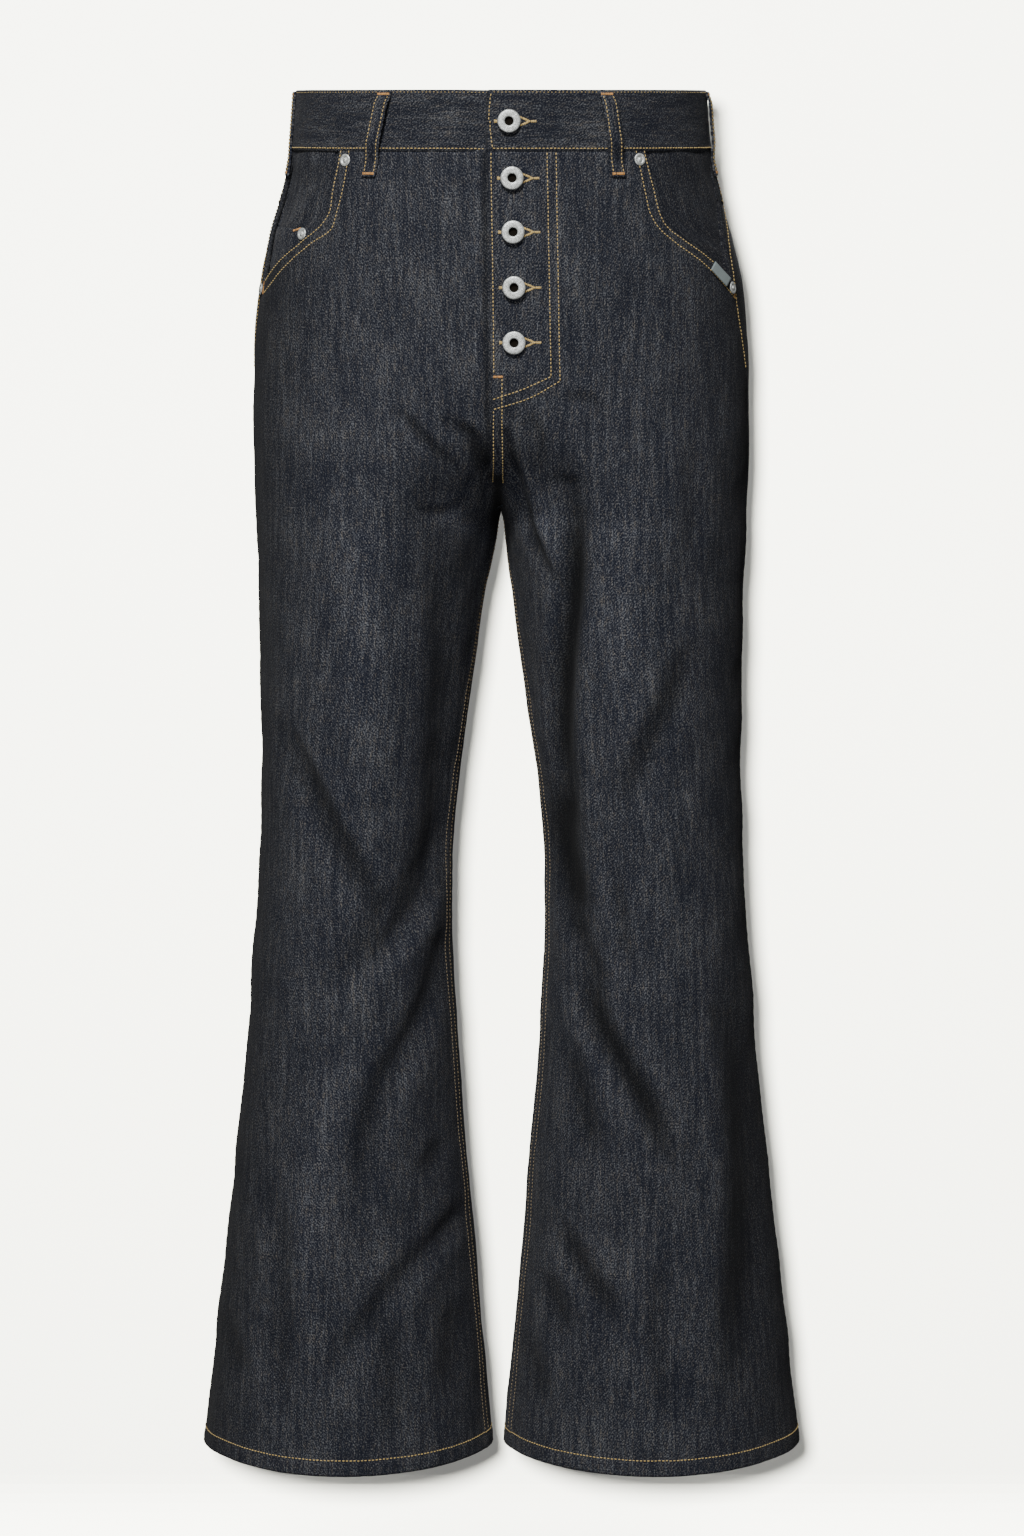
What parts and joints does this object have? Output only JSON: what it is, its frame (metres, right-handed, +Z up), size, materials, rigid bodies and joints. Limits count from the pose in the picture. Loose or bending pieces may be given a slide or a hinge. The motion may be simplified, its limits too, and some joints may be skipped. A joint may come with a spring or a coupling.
{
  "type": "bootcut jeans",
  "caption": "Raw indigo bootcut jeans with a button fly, scooped hip pockets, a coin pocket, a back yoke and belt loops, filled out with no wearer.",
  "frame": {"origin": "middle of the waist, half way up the waistband", "axes": "+Z up along the body, -Y out of the fly, +X towards the viewer's right when facing the fly"},
  "size_m": [0.4758, 0.2553, 1.0712],
  "materials": {
    "denim": "raw dark indigo twill",
    "metal": "dull silver plating",
    "tape": "woven grey tape"
  },
  "bodies": {
    "root": {"waistband": "denim", "front_left": "denim", "front_right": "denim", "back_left": "denim", "back_right": "denim", "yoke_left": "denim", "yoke_right": "denim", "fly_underlap": "denim", "pocket_facing_left": "denim", "pocket_facing_right": "denim", "coin_pocket": "denim", "back_pocket_left": "denim", "back_pocket_right": "denim", "belt_loop_front_left": "denim", "belt_loop_front_right": "denim", "belt_loop_side_left": "denim", "belt_loop_side_right": "denim", "belt_loop_back": "denim", "button_1": "metal", "button_2": "metal", "button_3": "metal", "button_4": "metal", "button_5": "metal", "rivet_left_top": "metal", "rivet_left_side": "metal", "rivet_coin_pocket": "metal", "rivet_right_top": "metal", "rivet_right_side": "metal", "pocket_tab": "tape"}
  },
  "joints": []
}
